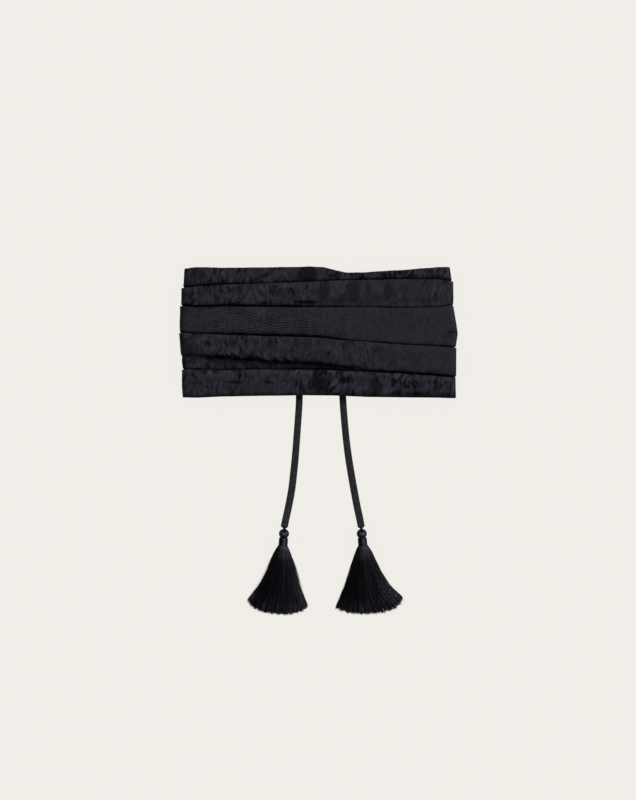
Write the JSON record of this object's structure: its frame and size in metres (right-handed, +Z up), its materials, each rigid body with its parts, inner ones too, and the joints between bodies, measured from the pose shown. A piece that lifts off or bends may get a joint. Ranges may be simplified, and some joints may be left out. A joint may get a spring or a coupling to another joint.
{
  "type": "sash",
  "caption": "Wide pleated waist sash of dark moiré cloth, closed to a loop and laid flat, with ribbon ties at the back that end in tassels",
  "frame": {"origin": "on the surface that the sash lies on, under the middle of the pleated band", "axes": "+X runs along the front of the band to the right as seen from above, +Y points to the band's top edge, away from the tassels, and +Z points up through the front"},
  "size_m": [0.3607, 0.452, 0.014],
  "materials": {
    "moire_cloth": "moiré faille, soft satin lustre",
    "ribbon": "woven ribbon, matte",
    "loop_cord": "twisted cord, matte",
    "tassel_thread": "silky thread",
    "binding_thread": "silky thread, wound"
  },
  "bodies": {
    "root": {"pleated_band": "moire_cloth", "left_tie": "ribbon", "right_tie": "ribbon", "left_tassel_loop": "loop_cord", "right_tassel_loop": "loop_cord", "left_tassel": "tassel_thread", "right_tassel": "tassel_thread", "left_tassel_binding": "binding_thread", "right_tassel_binding": "binding_thread"}
  },
  "joints": []
}
